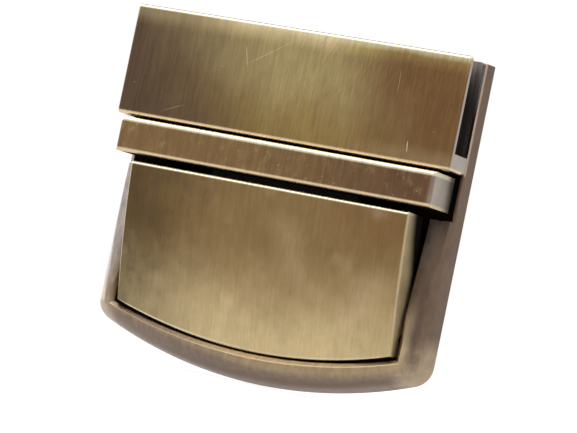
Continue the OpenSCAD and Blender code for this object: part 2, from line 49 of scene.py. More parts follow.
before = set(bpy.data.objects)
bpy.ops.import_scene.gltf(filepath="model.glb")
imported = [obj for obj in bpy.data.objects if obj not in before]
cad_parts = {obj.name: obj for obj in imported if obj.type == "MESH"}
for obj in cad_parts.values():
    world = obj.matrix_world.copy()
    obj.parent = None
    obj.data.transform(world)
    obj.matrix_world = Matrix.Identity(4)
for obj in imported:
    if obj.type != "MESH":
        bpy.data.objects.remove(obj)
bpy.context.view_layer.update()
MM = 0.001
BASE_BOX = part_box("base_frame")
FLAP_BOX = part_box("flap_front")
BAR_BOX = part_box("bridge_bar")
PRESS_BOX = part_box("press_plate")
PRESS_FOOT_DEPTH = 4.6 * MM
OPENING_GAP = 0.55 * MM
OPENING_RADIUS = 71.0 * MM
OPENING_CENTRE = PRESS_BOX[0].z - 0.25 * MM + OPENING_RADIUS
TRAY_HALF = BASE_BOX[1].x - 1.0 * MM
BORDER_LINE = TRAY_HALF + 0.46 * MM
CUT_END = 0.1 * MM
COIL_REACH = 1.1 * MM
LEAF_ARM = 5.6 * MM
LEAF_TIP = 0.4 * MM
SHARP_ANGLE = math.radians(40.0)
SMOOTH_ANGLE = math.radians(38.0)
FLAT_ANGLE = math.radians(0.4)
MERGE_DISTANCE = 0.001 * MM
SCREW_RIM = 0.06 * MM
RIVET_HEAD = 0.45 * MM
SENSOR_WIDTH = 36.0
FLOOR_SIZE = 6.0
SOFTBOX_PLACE = (-0.14, -0.04, 0.45)
SOFTBOX_SIZE = (0.6, 0.5)

# Lines on a front: start and end as shares of its width and height, width in mm, strength
SCRATCHES = (
    ((0.355, 0.6), (0.51, 0.93), 0.12, 0.22),
    ((0.348, 0.79), (0.368, 0.57), 0.11, 0.42),
    ((0.868, 0.2), (0.872, 0.08), 0.11, 0.7),
    ((0.81, 0.8), (0.813, 0.55), 0.08, 0.3),
    ((0.13, 0.07), (0.21, 0.18), 0.08, 0.2),
    ((0.62, 0.4), (0.66, 0.58), 0.08, 0.12),
)
RUBBED_PLACES = (
    ((0.36, 0.34), (0.53, 0.12), 1.5, 0.14),
    ((0.55, 0.9), (0.68, 0.4), 3.6, 0.13),
    ((0.82, 0.15), (0.95, 0.7), 3.4, 0.14),
)


def colour_property(name, description, default):
    """A colour that the user can change, with its default in linear values."""
    return FloatVectorProperty(
        name=name, description=description, default=default, subtype="COLOR", size=3, min=0.0, max=1.0
    )


def length_property(name, description, default):
    """A length in metres that the user can change."""
    return FloatProperty(name=name, description=description, default=default, unit="LENGTH", min=0.0)


def shift_property(name, description, default):
    """A length in metres that may also be negative."""
    return FloatProperty(name=name, description=description, default=default, unit="LENGTH")


def angle_property(name, description, degrees):
    """An angle, with its default in degrees."""
    return FloatProperty(name=name, description=description, default=math.radians(degrees), subtype="ANGLE")


def level_property(name, description, default):
    """A brightness that the user can change."""
    return FloatProperty(name=name, description=description, default=default, min=0.0)


class ClaspFinishes(bpy.types.PropertyGroup):
    """Colours of the brass and steel finishes, some of which paint light and shade."""

    brass: colour_property("Brass", "Brushed brass in the middle of the faces", (0.35, 0.272, 0.125))
    golden: colour_property("Golden brass", "Warmer brass low on the flap piece", (0.25, 0.158, 0.048))
    # Brown of the press plate's painted reflection at its upper part
    bronze: colour_property("Bronze", "Brown brass of the upper press plate", (0.205, 0.131, 0.056))
    # Yellow of the painted highlight at the top right of the flap piece
    straw: colour_property("Straw", "Yellow brass at the upper right of the flap piece", (0.56, 0.45, 0.14))
    # Pale brass: painted highlight on the flap's top, painted reflection low on the flap and the press plate,
    # painted light on the press plate's shaded walls
    pale_brass: colour_property("Pale brass", "Brass where it is rubbed bright", (0.62, 0.49, 0.27))
    # Dark brown: painted reflection at the left of the flap piece, and a real stain on the press plate
    stain_and_shade: colour_property("Tarnish", "Dark brown patina at the left ends", (0.1, 0.063, 0.04))
    # Brown: painted reflection at the right ends of the flap piece and the press plate, and brown plating
    # below the base's opening
    brown_brass: colour_property("Brown brass", "Brown patina at the right ends", (0.165, 0.088, 0.037))
    # Pale brass: painted reflection along lower edges and painted highlight at the base's lower corners, also
    # real wear in rubbed places and specks
    wear_and_sheen: colour_property("Worn edge", "Bare brass along the lower edges", (0.61, 0.475, 0.3))
    # Bright brass: painted highlight along upper edges and the press plate's foot, also the colour of
    # scratches, dents and specks
    bright_edge: colour_property("Bright edge", "Polished brass along the upper edges", (0.72, 0.64, 0.45))
    gray_end: colour_property("Gray end", "Bare metal of the cut ends", (0.36, 0.308, 0.262))
    antique: colour_property("Antique", "Brown plating of the base", (0.16, 0.106, 0.073))
    antique_gray: colour_property("Gray antique", "Plating along the bottom", (0.215, 0.163, 0.13))
    # Pale silver: painted reflection of the bright room on the left rim
    antique_silver: colour_property("Silver antique", "Plating at the left, rubbed pale", (0.36, 0.315, 0.29))
    # Darkest plating: a random cloud, and painted shade beside the opening and along its left foot
    antique_dark: colour_property("Dark antique", "Plating where it is darkest", (0.105, 0.07, 0.055))
    antique_tan: colour_property("Tan", "Plating rubbed along the inside of the rim", (0.32, 0.24, 0.145))
    bar_brown: colour_property("Bar", "Reddish plating of the bar", (0.198, 0.12, 0.054))
    # Darker bar tone at its right end, a painted reflection
    bar_dark: colour_property("Dark bar", "Plating of the bar at its right end", (0.127, 0.07, 0.039))
    # Black of the painted shade in gaps and recesses
    shade_black: colour_property("Grime", "Black film in the gaps", (0.01, 0.008, 0.007))
    # Dark tongue sheet: painted shade where it shows in the gaps
    sheet: colour_property("Sheet", "Dark plated sheet of the tongue", (0.026, 0.021, 0.017))
    # Lighter top of that sheet: painted light falling in through the open slot
    sheet_top: colour_property("Sheet top", "Plating at the top of that sheet", (0.3, 0.26, 0.24))
    # Gray of that sheet in the slot, between the painted shade below and the painted light above
    slot_back: colour_property("Slot", "Plating of that sheet low in the slot", (0.18, 0.144, 0.136))
    # Peach: painted highlight along the border of the tray
    peach: colour_property("Peach", "Bare line along the border of the tray", (0.5, 0.36, 0.27))
    zinc: colour_property("Zinc", "Zinc-plated steel", (0.42, 0.42, 0.415))
    spring_steel: colour_property("Spring steel", "Dark steel of the springs and the pin", (0.07, 0.07, 0.08))


class ClaspSizes(bpy.types.PropertyGroup):
    """Sizes of the small details that the CAD leaves plain."""

    base_edge: length_property("Base edge", "Width of the rounded edges of the base", 0.15 * MM)
    edge: length_property("Edge", "Width of the rounded edges of the press plate", 0.12 * MM)
    sheet_edge: length_property("Sheet edge", "Width of the rounded edges of sheet pieces", 0.06 * MM)
    screw_slot: FloatProperty(
        name="Screw slot", description="Width of a screw's slot, in head radii", default=0.3, min=0.1, max=0.6
    )
    screw_edge: length_property("Screw edge", "Width of the rounded edges of a screw", 0.05 * MM)
    turned_sides: IntProperty(
        name="Turned sides", description="Sides of turned pieces", default=48, min=16, max=96
    )


class ClaspStage(bpy.types.PropertyGroup):
    """Camera, light and floor."""

    azimuth: angle_property("Azimuth", "Camera's angle round the clasp", 22.75)
    elevation: angle_property("Elevation", "Camera's angle above the horizon", -1.95)
    roll: angle_property("Roll", "Turn of the camera about its own axis", 11.64)
    distance: length_property("Distance", "Distance of the camera from its aim", 346.4 * MM)
    aim_right: shift_property("Aim right", "Shift of the aim across the view", -0.18 * MM)
    aim_up: shift_property("Aim up", "Shift of the aim up the view", 24.03 * MM)
    aim_low: shift_property("Aim height", "Height from which the aim is measured", -24.75 * MM)
    lens: FloatProperty(name="Lens", description="Focal length on a 36 mm sensor", default=157.26, min=10.0)
    ambient: level_property("Ambient", "Light of the room on matt surfaces", 0.55)
    front_dim: level_property("Front", "Brightness of the room in front, seen in the metal", 0.7)
    left_light: level_property("Left light", "Extra brightness at the left, seen in the metal", 1.6)
    top_light: level_property("Top light", "Extra brightness above, seen in the metal", 0.9)
    overhead: level_property("Overhead", "Brightness of the softbox above", 2.2)
    floor_matt: level_property("Floor", "Brightness of the floor's matt part, which takes the shadow", 0.35)
    floor_glow: level_property("Floor glow", "Light that brings the floor up to white", 0.86)
    floor_bounce: level_property("Floor bounce", "Brightness of the floor for bounced light", 0.8)


def finishes():
    """The colours set for this scene."""
    return bpy.context.scene.clasp_finishes


def sizes():
    """The detail sizes set for this scene."""
    return bpy.context.scene.clasp_sizes


# Mesh helpers


def only(obj):
    """Selects one object alone and makes it active."""
    bpy.ops.object.select_all(action="DESELECT")
    obj.select_set(True)
    bpy.context.view_layer.objects.active = obj


def edit_all(obj):
    """Opens an object in edit mode with everything selected."""
    only(obj)
    bpy.ops.object.mode_set(mode="EDIT")
    bpy.ops.mesh.select_all(action="SELECT")


def close_edit():
    """Goes back to object mode."""
    bpy.ops.object.mode_set(mode="OBJECT")


def merged_copy(node, name):
    """A copy of a CAD node with its loose triangles merged and its flat regions made single faces."""
    obj = bpy.data.objects.new(name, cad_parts[node].data.copy())
    bpy.context.scene.collection.objects.link(obj)
    obj.data.materials.clear()
    only(obj)
    bpy.ops.mesh.customdata_custom_splitnormals_clear()
    edit_all(obj)
    bpy.ops.mesh.remove_doubles(threshold=MERGE_DISTANCE)
    bpy.ops.mesh.dissolve_limited(angle_limit=FLAT_ANGLE)
    close_edit()
    return obj


def use_modifier(obj, kind, **settings):
    """Adds a modifier with these settings and applies it."""
    only(obj)
    modifier = obj.modifiers.new(kind.title(), kind)
    for key, value in settings.items():
        setattr(modifier, key, value)
    bpy.ops.object.modifier_apply(modifier=modifier.name)


def round_edges(obj, width, segments=3):
    """Rounds the sharp edges, and shades the piece so that its flat faces stay flat."""
    use_modifier(
        obj,
        "BEVEL",
        width=width,
        segments=segments,
        limit_method="ANGLE",
        angle_limit=SHARP_ANGLE,
        use_clamp_overlap=False,
    )
    smooth(obj)


def smooth(obj):
    """Smooth shading up to an angle, with the normals of the large faces kept."""
    only(obj)
    bpy.ops.object.shade_smooth_by_angle(angle=SMOOTH_ANGLE)
    use_modifier(obj, "WEIGHTED_NORMAL", mode="FACE_AREA", weight=100, keep_sharp=True)


def loose_boxes(node):
    """The boxes of a CAD node's separate solids, each as its lowest and highest corner."""
    obj = merged_copy(node, node + "_solids")
    edit_all(obj)
    bpy.ops.mesh.separate(type="LOOSE")
    close_edit()
    boxes = []
    for part in list(bpy.context.selected_objects):
        corners = [vertex.co for vertex in part.data.vertices]
        low = Vector(min(corner[i] for corner in corners) for i in range(3))
        high = Vector(max(corner[i] for corner in corners) for i in range(3))
        boxes.append((low, high))
        bpy.data.objects.remove(part)
    return sorted(boxes, key=lambda box: (round(box[0].z, 6), box[0].x))


def turned(name, start, axis, rings):
    """A turned piece: a disc at the start, drawn out ring by ring as (distance along the axis, radius)."""
    axis = Vector(axis)
    bpy.ops.object.select_all(action="DESELECT")
    bpy.ops.mesh.primitive_circle_add(
        vertices=sizes().turned_sides,
        radius=rings[0][1],
        fill_type="NGON",
        location=start,
        rotation=axis.to_track_quat("Z", "Y").to_euler(),
    )
    obj = bpy.context.active_object
    obj.name = name
    bpy.ops.object.transform_apply(location=True, rotation=True, scale=True)
    edit_all(obj)
    for before, ring in zip(rings, rings[1:]):
        grow = ring[1] / before[1]
        step = axis * (ring[0] - before[0])
        centre = Vector(start) + axis * ring[0]
        bpy.ops.mesh.extrude_region_move(TRANSFORM_OT_translate={"value": step})
        bpy.ops.transform.resize(value=(grow, grow, grow), center_override=centre)
    bpy.ops.mesh.select_all(action="SELECT")
    bpy.ops.mesh.normals_make_consistent(inside=False)
    close_edit()
    return obj


def moved_copy(obj, name, step):
    """A copy with its own mesh, moved by a step that goes into the mesh."""
    copy = bpy.data.objects.new(name, obj.data.copy())
    copy.data.transform(Matrix.Translation(step))
    bpy.context.scene.collection.objects.link(copy)
    return copy


def cut_box(obj, low, high):
    """Cuts a box out of a piece."""
    bpy.ops.object.select_all(action="DESELECT")
    bpy.ops.mesh.primitive_cube_add(size=1.0, location=(low + high) / 2, scale=high - low)
    cutter = bpy.context.active_object
    use_modifier(obj, "BOOLEAN", operation="DIFFERENCE", solver="EXACT", object=cutter)
    bpy.data.objects.remove(cutter)


def settle(obj, body, node):
    """Lets a finished piece ride on its body in the place of its CAD node."""
    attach(obj, body)
    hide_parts(node)


def dressed(node, name, finish, edge, body, segments=3):
    """Puts a copy of a CAD node, with a finish and rounded edges, in the place of that node."""
    obj = merged_copy(node, name)
    obj.data.materials.append(finish)
    round_edges(obj, edge, segments)
    settle(obj, body, node)


# Finishes


class TreeNodes:
    """Adds the nodes of one tree and links them."""

    def __init__(self, tree):
        self.tree = tree

    def add(self, kind, **settings):
        """A node with its own settings."""
        node = self.tree.nodes.new(kind)
        for key, value in settings.items():
            setattr(node, key, value)
        return node

    def put(self, socket, value):
        """Sets an input to a value, or links it to an output."""
        if isinstance(value, bpy.types.NodeSocket):
            self.tree.links.new(value, socket)
        else:
            socket.default_value = value

    def math(self, operation, first, second=0.0):
        """One number from two."""
        node = self.add("ShaderNodeMath", operation=operation)
        self.put(node.inputs[0], first)
        self.put(node.inputs[1], second)
        return node.outputs[0]

    def times(self, product, *factors):
        """The product of numbers."""
        for factor in factors:
            product = self.math("MULTIPLY", product, factor)
        return product

    def ramp(self, value, start, end, low=0.0, high=1.0):
        """A smooth step of a number from low at its start to high at its end."""
        node = self.add("ShaderNodeMapRange", interpolation_type="SMOOTHSTEP")
        for socket, setting in zip(node.inputs, (value, start, end, low, high)):
            self.put(socket, setting)
        return node.outputs[0]


class FinishNodes(TreeNodes):
    """Adds the nodes of one metal finish."""

    def __init__(self, name):
        self.material = bpy.data.materials.new(name)
        self.material.use_nodes = True
        super().__init__(self.material.node_tree)
        self.shader = self.tree.nodes["Principled BSDF"]
        self.place = self.add("ShaderNodeTexCoord").outputs["Object"]
        # Mask of the black painted shade, which also dulls the metal
        self.painted_shade = None
        self.matt = None

    def along(self, direction, origin=(0.0, 0.0, 0.0)):
        """The distance of a point from the origin along a direction."""
        shift = self.add("ShaderNodeVectorMath", operation="SUBTRACT")
        self.put(shift.inputs[0], self.place)
        self.put(shift.inputs[1], origin)
        node = self.add("ShaderNodeVectorMath", operation="DOT_PRODUCT")
        self.put(node.inputs[0], shift.outputs[0])
        self.put(node.inputs[1], Vector(direction).normalized())
        return node.outputs["Value"]

    def noise(self, scale, detail=3.0, roughness=0.55):
        """Noise whose features are stretched by a scale of its own on each axis, per metre."""
        mapping = self.add("ShaderNodeMapping")
        self.put(mapping.inputs["Vector"], self.place)
        self.put(mapping.inputs["Scale"], scale)
        return self.noise_at(mapping.outputs[0], detail, roughness)

    def noise_at(self, place, detail, roughness):
        """Noise at a place that is already scaled."""
        node = self.add("ShaderNodeTexNoise")
        for key, value in (("Vector", place), ("Scale", 1.0), ("Detail", detail), ("Roughness", roughness)):
            self.put(node.inputs[key], value)
        return node.outputs["Fac"]

    def streaks(self, direction, across, length):
        """Noise drawn out into lines along a direction of the front faces, with both scales per metre."""
        side = Vector(direction).cross(Vector((0.0, 1.0, 0.0)))
        place = self.add("ShaderNodeCombineXYZ")
        self.put(place.inputs["X"], self.times(self.along(side), across))
        self.put(place.inputs["Z"], self.times(self.along(direction), length))
        return self.noise_at(place.outputs[0], 3.0, 0.6)

    def dots(self, scale, size, share):
        """Small separate marks: 1 inside a mark, for a share of the cells."""
        node = self.add("ShaderNodeTexVoronoi", feature="F1")
        self.put(node.inputs["Vector"], self.place)
        self.put(node.inputs["Scale"], scale)
        split = self.add("ShaderNodeSeparateColor")
        self.put(split.inputs[0], node.outputs["Color"])
        mark = self.ramp(node.outputs["Distance"], size, size * 0.4)
        chosen = self.math("LESS_THAN", split.outputs[0], share)
        return self.times(mark, chosen)

    def blend(self, factor, first, second, mode="MIX"):
        """A mix of two colours."""
        node = self.add("ShaderNodeMix", data_type="RGBA", blend_type=mode)
        self.put(node.inputs["Factor"], factor)
        self.put(node.inputs["A"], as_rgba(first))
        self.put(node.inputs["B"], as_rgba(second))
        return node.outputs["Result"]

    def scratch(self, start, end, width):
        """A scratch between two points of a face: 1 on its line."""
        start, end = Vector(start), Vector(end)
        line = end - start
        across = line.cross(Vector((0.0, 1.0, 0.0)))
        off = self.math("ABSOLUTE", self.along(across, start))
        run = self.along(line, start)
        body = self.ramp(off, width, 0.0)
        begin = self.ramp(run, 0.0, line.length * 0.25)
        finish = self.ramp(run, line.length, line.length * 0.7)
        return self.times(body, begin, finish)

    def relief(self, height, strength, distance):
        """Bump from a height."""
        node = self.add("ShaderNodeBump")
        self.put(node.inputs["Strength"], strength)
        self.put(node.inputs["Distance"], distance)
        self.put(node.inputs["Height"], height)
        self.put(self.shader.inputs["Normal"], node.outputs[0])

    def metal(self, colour, roughness):
        """Sets the shader to a metal of this colour and roughness, dull under painted shade and where matt.
        """
        bare = 1.0
        if self.painted_shade:
            bare = self.math("SUBTRACT", 1.0, self.painted_shade)
            self.put(self.shader.inputs["Specular IOR Level"], self.times(bare, 0.5))
        if self.matt:
            bare = self.times(bare, self.math("SUBTRACT", 1.0, self.matt))
        self.put(self.shader.inputs["Metallic"], bare)
        self.put(self.shader.inputs["Base Color"], colour)
        self.put(self.shader.inputs["Roughness"], roughness)
        return self.material


def as_rgba(colour):
    """A colour property as four numbers; a socket stays as it is."""
    if isinstance(colour, bpy.types.NodeSocket):
        return colour
    return (*colour[:3], 1.0)


def shaded(nodes, colour, value):
    """A colour made darker or brighter by a number."""
    gray = nodes.add("ShaderNodeCombineColor")
    for socket in gray.inputs:
        nodes.put(socket, value)
    return nodes.blend(1.0, colour, gray.outputs[0], "MULTIPLY")


def brushed(nodes, colour, contrast, low_roughness, high_roughness):
    """A metal brushed up and down: fine lines in its colour, its roughness and its relief."""
    fine = nodes.noise((6800.0, 60.0, 240.0), detail=2.0, roughness=0.6)
    broad = nodes.noise((2600.0, 60.0, 150.0), roughness=0.65)
    mottle = nodes.noise((500.0, 500.0, 330.0), detail=6.0, roughness=0.68)
    lines = nodes.math("ADD", nodes.times(fine, 0.72), nodes.times(broad, 0.28))
    tone = nodes.math("ADD", nodes.times(lines, 0.6), nodes.times(mottle, 0.4))
    nodes.relief(lines, 0.16, 0.01 * MM)
    colour = shaded(nodes, colour, nodes.ramp(tone, 0.3, 0.7, 1.0 - contrast, 1.0 + contrast))
    return nodes.metal(colour, nodes.ramp(lines, 0.3, 0.7, low_roughness, high_roughness))


def sway_of(nodes, scale, reach):
    """A soft irregular shift in metres, so that a painted tone has no straight border."""
    cloud = nodes.noise(scale, detail=5.0, roughness=0.62)
    return nodes.times(nodes.math("SUBTRACT", cloud, 0.5), reach)


def edge_line(nodes, direction, corner, width):
    """A band along one edge of a box: 1 within a width of the corner, measured along a direction."""
    return nodes.ramp(nodes.along(direction, corner), width, width * 0.55)


def edge_sheen_and_ends(nodes, colour, box, top, bottom):
    """Paints a highlight along the upper edge of an upright box and a pale reflection along its lower one,
    and bares its cut ends.
    """
    f = finishes()
    low, high = box
    inner = nodes.math("ABSOLUTE", nodes.along((1, 0, 0)))
    cut = nodes.ramp(inner, high.x - CUT_END, high.x - CUT_END * 0.4)
    colour = nodes.blend(cut, colour, f.gray_end)
    colour = nodes.blend(edge_line(nodes, (0, 0, 1), low, bottom), colour, f.wear_and_sheen)
    return nodes.blend(edge_line(nodes, (0, 0, -1), high, top), colour, f.bright_edge)


def paint_shade(nodes, colour, painted_shade):
    """Paints black shade over a colour where the mask is 1."""
    nodes.painted_shade = nodes.math("MAXIMUM", nodes.painted_shade, painted_shade) if nodes.painted_shade else painted_shade
    return nodes.blend(painted_shade, colour, finishes().shade_black)


def paint_depth_shade(nodes, colour, depth, start, end, mask=1.0):
    """Paints black shade over a colour from a start to an end of a depth, where the mask is 1."""
    return paint_shade(nodes, colour, nodes.times(nodes.ramp(depth, start, end), mask))


def front_point(box, across, up):
    """A point of a box's front, by its shares of the width and of the height."""
    low, high = box
    return (low.x + across * (high.x - low.x), low.y, low.z + up * (high.z - low.z))


def drawn(nodes, box, lines, total=0.0):
    """The strongest of some lines on a box's front, each with its start, end, width in mm and strength."""
    for start, end, width, strength in lines:
        line = nodes.scratch(front_point(box, *start), front_point(box, *end), width * MM)
        total = nodes.math("MAXIMUM", total, nodes.times(line, strength))
    return total


def flap_finish():
    """Brushed brass of the flap piece, its tone a painted reflection: dark at the left, a painted highlight
    at the top, brown at the right, with painted shade inside.
    """
    f = finishes()
    nodes = FinishNodes("flap_brushed_brass")
    low, high = FLAP_BOX
    sway = sway_of(nodes, (120.0, 120.0, 75.0), 12 * MM)
    left = nodes.math("ADD", nodes.along((-1.0, 0.0, -0.45), (0, 0, high.z)), sway)
    right = nodes.math("ADD", nodes.along((1.0, 0.0, 0.25), (0, 0, low.z)), sway)
    down = nodes.math("ADD", nodes.along((-0.15, 0.0, -1.0), (0, 0, high.z)), sway)
    top = nodes.math("ADD", nodes.along((0, 0, -1), high), nodes.times(sway, 0.1))
    across = nodes.along((1, 0, 0))
    middle = nodes.math("ABSOLUTE", nodes.along((1, 0, 0), (-1.5 * MM, 0, 0)))
    depth = nodes.along((0, 1, 0), low)
    height = nodes.along((0, 0, 1), low)
    colour = nodes.blend(nodes.ramp(down, 5 * MM, 15 * MM, 0.0, 0.8), f.brass, f.golden)
    # Painted reflection: dark towards the left and brown towards the right
    colour = nodes.blend(nodes.ramp(left, 0.0, 26 * MM), colour, f.stain_and_shade)
    colour = nodes.blend(nodes.ramp(right, 3 * MM, 21 * MM), colour, f.brown_brass)
    # Painted highlight: a pale band along the top, yellow towards the right
    glow = nodes.times(nodes.ramp(top, 3 * MM, 0.5 * MM), nodes.ramp(middle, 15 * MM, 5 * MM, 0.28, 0.8))
    bright = nodes.blend(nodes.ramp(across, 3 * MM, 11 * MM), f.pale_brass, f.straw)
    colour = nodes.blend(glow, colour, bright)
    # Painted highlight right at the top edge, towards the left
    top_left_highlight = nodes.times(nodes.ramp(top, 1.3 * MM, 0.4 * MM), nodes.ramp(across, -14 * MM, -4 * MM, 0.0, 0.5))
    colour = nodes.blend(top_left_highlight, colour, f.bright_edge)
    aslant = nodes.times(nodes.ramp(across, -4 * MM, 5 * MM), nodes.ramp(top, 11 * MM, 3 * MM))
    strokes = nodes.ramp(nodes.streaks((0.45, 0.0, 1.0), 3600.0, 190.0), 0.3, 0.7, 0.91, 1.09)
    colour = nodes.blend(aslant, colour, shaded(nodes, colour, strokes))
    # Painted reflection: pale along the bottom towards the right
    low_reflection = nodes.times(nodes.ramp(height, 3 * MM, 0.9 * MM), nodes.ramp(across, 4 * MM, 21 * MM, 0.0, 0.16))
    colour = nodes.blend(low_reflection, colour, f.pale_brass)
    colour = edge_sheen_and_ends(nodes, colour, FLAP_BOX, 0.55 * MM, 0.58 * MM)
    dents = nodes.times(nodes.dots(560.0, 0.08, 0.3), 0.3)
    colour = nodes.blend(drawn(nodes, FLAP_BOX, SCRATCHES, dents), colour, f.bright_edge)
    # Painted shade: a dark line behind the rounded top edge
    top_edge_shade = nodes.times(nodes.ramp(depth, 0.8 * MM, 0.6 * MM), edge_line(nodes, (0, 0, -1), high, 0.15 * MM))
    colour = paint_shade(nodes, colour, top_edge_shade)
    # Painted shade inside the channel, above the block
    above_block = nodes.times(
        nodes.ramp(height, 2.3 * MM, 2.45 * MM), nodes.ramp(top, 0.2 * MM, 4 * MM, 0.75, 1.0)
    )
    colour = paint_depth_shade(nodes, colour, depth, 0.75 * MM, 0.9 * MM, above_block)
    # Painted shade on the underside
    under = nodes.ramp(height, 0.12 * MM, 0.05 * MM)
    colour = paint_depth_shade(nodes, colour, depth, 0.6 * MM, 1.6 * MM, under)
    return brushed(nodes, colour, 0.14, 0.33, 0.43)


def press_finish():
    """Brushed brass of the press plate, its tone a painted reflection: dark at the upper left, pale gold
    towards its foot, with painted highlights on its edges and painted shade deep in the gap.
    """
    f = finishes()
    nodes = FinishNodes("press_brushed_brass")
    low, high = PRESS_BOX
    sway = sway_of(nodes, (110.0, 110.0, 70.0), 9 * MM)
    right = nodes.along((1, 0, 0))
    side = nodes.math("ABSOLUTE", right)
    across = nodes.math("ADD", right, sway)
    down = nodes.math("ADD", nodes.along((0, 0, -1), high), sway)
    # Painted reflection: brown above, pale gold towards the foot, brown at the upper right
    colour = nodes.blend(nodes.ramp(down, 6 * MM, 27.5 * MM), f.bronze, f.pale_brass)
    corner = nodes.times(nodes.ramp(across, 6 * MM, 19 * MM), nodes.ramp(down, 8 * MM, 2 * MM, 0.0, 0.7))
    colour = nodes.blend(corner, colour, f.brown_brass)
    # Painted shade: darker towards the left
    colour = shaded(nodes, colour, nodes.ramp(across, -24 * MM, -2 * MM, 0.38, 1.0))
    smudge = nodes.noise((170.0, 170.0, 130.0), detail=2.0, roughness=0.45)
    colour = nodes.blend(nodes.ramp(smudge, 0.55, 0.78, 0.0, 0.25), colour, f.wear_and_sheen)
    colour = nodes.blend(drawn(nodes, PRESS_BOX, RUBBED_PLACES), colour, f.wear_and_sheen)
    blotch = nodes.noise((640.0, 640.0, 420.0), detail=4.0, roughness=0.6)
    stained = nodes.math("ADD", nodes.along((-1.0, 0.0, 0.7), (-9 * MM, 0.0, high.z - 10 * MM)), sway)
    stained = nodes.times(nodes.ramp(stained, 0.0, 8 * MM), nodes.ramp(blotch, 0.46, 0.68, 0.0, 0.6))
    colour = nodes.blend(stained, colour, f.stain_and_shade)
    colour = nodes.blend(nodes.times(nodes.dots(300.0, 0.05, 0.15), 0.3), colour, f.bright_edge)
    past_foot = below_opening(nodes)
    # Painted highlight along the foot edge
    foot_highlight = nodes.times(
        nodes.ramp(past_foot, -0.75 * MM, -0.5 * MM),
        nodes.ramp(side, high.x, high.x - 2 * MM),
        nodes.ramp(right, 4 * MM, -12 * MM, 0.5, 0.8),
    )
    colour = nodes.blend(foot_highlight, colour, f.bright_edge)
    # Painted light: pale matt brass on the side and foot walls in the gap, so that they read lighter than
    # their shade
    foot = nodes.times(nodes.ramp(past_foot, -0.45 * MM, -0.3 * MM), nodes.ramp(right, 8 * MM, -4 * MM))
    wall = nodes.math("MAXIMUM", nodes.ramp(side, high.x - 0.3 * MM, high.x - 0.12 * MM), foot)
    nodes.matt = nodes.times(wall, 0.8)
    colour = nodes.blend(nodes.matt, colour, f.pale_brass)
    # Painted highlight along the top edge
    colour = nodes.blend(edge_line(nodes, (0, 0, -1), high, 0.5 * MM), colour, f.bright_edge)
    # Painted shade deep along the walls, starting deeper towards the foot
    lean = Vector((0.0, high.z - low.z, -low.y - PRESS_FOOT_DEPTH))
    behind = nodes.along(lean, (0.0, low.y, high.z))
    start = nodes.ramp(down, 0.0, 20 * MM, 0.1 * MM, 4.2 * MM)
    colour = paint_depth_shade(nodes, colour, behind, start, nodes.math("ADD", start, 3.4 * MM))
    return brushed(nodes, colour, 0.16, 0.3, 0.44)


def bar_finish():
    """Reddish antique plating of the bar, with bright specks where it is rubbed, darker towards the right as
    painted reflection, painted highlights on its edges and painted shade inside.
    """
    f = finishes()
    nodes = FinishNodes("bar_antique_brass")
    low, high = BAR_BOX
    across = nodes.along((1, 0, 0))
    right = nodes.math("ADD", across, sway_of(nodes, (200.0, 200.0, 200.0), 14 * MM))
    # Painted reflection: darker towards the right
    colour = nodes.blend(nodes.ramp(right, -4 * MM, 22 * MM), f.bar_brown, f.bar_dark)
    gold = nodes.noise((700.0, 700.0, 500.0), detail=5.0, roughness=0.7)
    colour = nodes.blend(nodes.ramp(gold, 0.5, 0.75, 0.0, 0.4), colour, f.brass)
    colour = nodes.blend(nodes.times(nodes.dots(950.0, 0.17, 0.4), 0.3), colour, f.wear_and_sheen)
    # Painted sheen: paler towards the rounded right end
    turn = nodes.ramp(across, high.x - 0.9 * MM, high.x - 0.1 * MM, 0.0, 0.5)
    colour = nodes.blend(turn, colour, f.gray_end)
    colour = edge_sheen_and_ends(nodes, colour, BAR_BOX, 0.78 * MM, 0.56 * MM)
    # Painted shade on the top and bottom behind the front edge, and all over the back
    depth = nodes.along((0, 1, 0), low)
    inside = nodes.ramp(nodes.math("ABSOLUTE", across), high.x, high.x - 0.1 * MM)
    colour = paint_depth_shade(nodes, colour, depth, 0.7 * MM, 1.6 * MM, inside)
    colour = paint_depth_shade(nodes, colour, depth, 6.6 * MM, 8.0 * MM)
    return brushed(nodes, colour, 0.16, 0.34, 0.48)


def beside_opening(nodes):
    """Distance of a point beyond the sides of the press plate's opening."""
    wide = nodes.math("ABSOLUTE", nodes.along((1, 0, 0)))
    return nodes.math("SUBTRACT", wide, PRESS_BOX[1].x + OPENING_GAP)


def below_opening(nodes):
    """Distance of a point beyond the curved foot of the press plate's opening."""
    flat = nodes.add("ShaderNodeVectorMath", operation="MULTIPLY_ADD")
    nodes.put(flat.inputs[0], nodes.place)
    nodes.put(flat.inputs[1], (1.0, 0.0, 1.0))
    nodes.put(flat.inputs[2], (0.0, 0.0, -OPENING_CENTRE))
    reach = nodes.add("ShaderNodeVectorMath", operation="LENGTH")
    nodes.put(reach.inputs[0], flat.outputs[0])
    return nodes.math("SUBTRACT", reach.outputs["Value"], OPENING_RADIUS)


class BasePlace:
    """Measures of a point on the base, in metres."""

    def __init__(self, nodes):
        self.right = nodes.along((1, 0, 0))
        self.left = nodes.along((-1, 0, 0))
        self.wide = nodes.math("ABSOLUTE", self.right)
        self.height = nodes.along((0, 0, 1))
        self.front = nodes.along((0, -1, 0))
        self.depth = nodes.along((0, 1, 0), BASE_BOX[0])
        self.aside = beside_opening(nodes)
        self.below = below_opening(nodes)


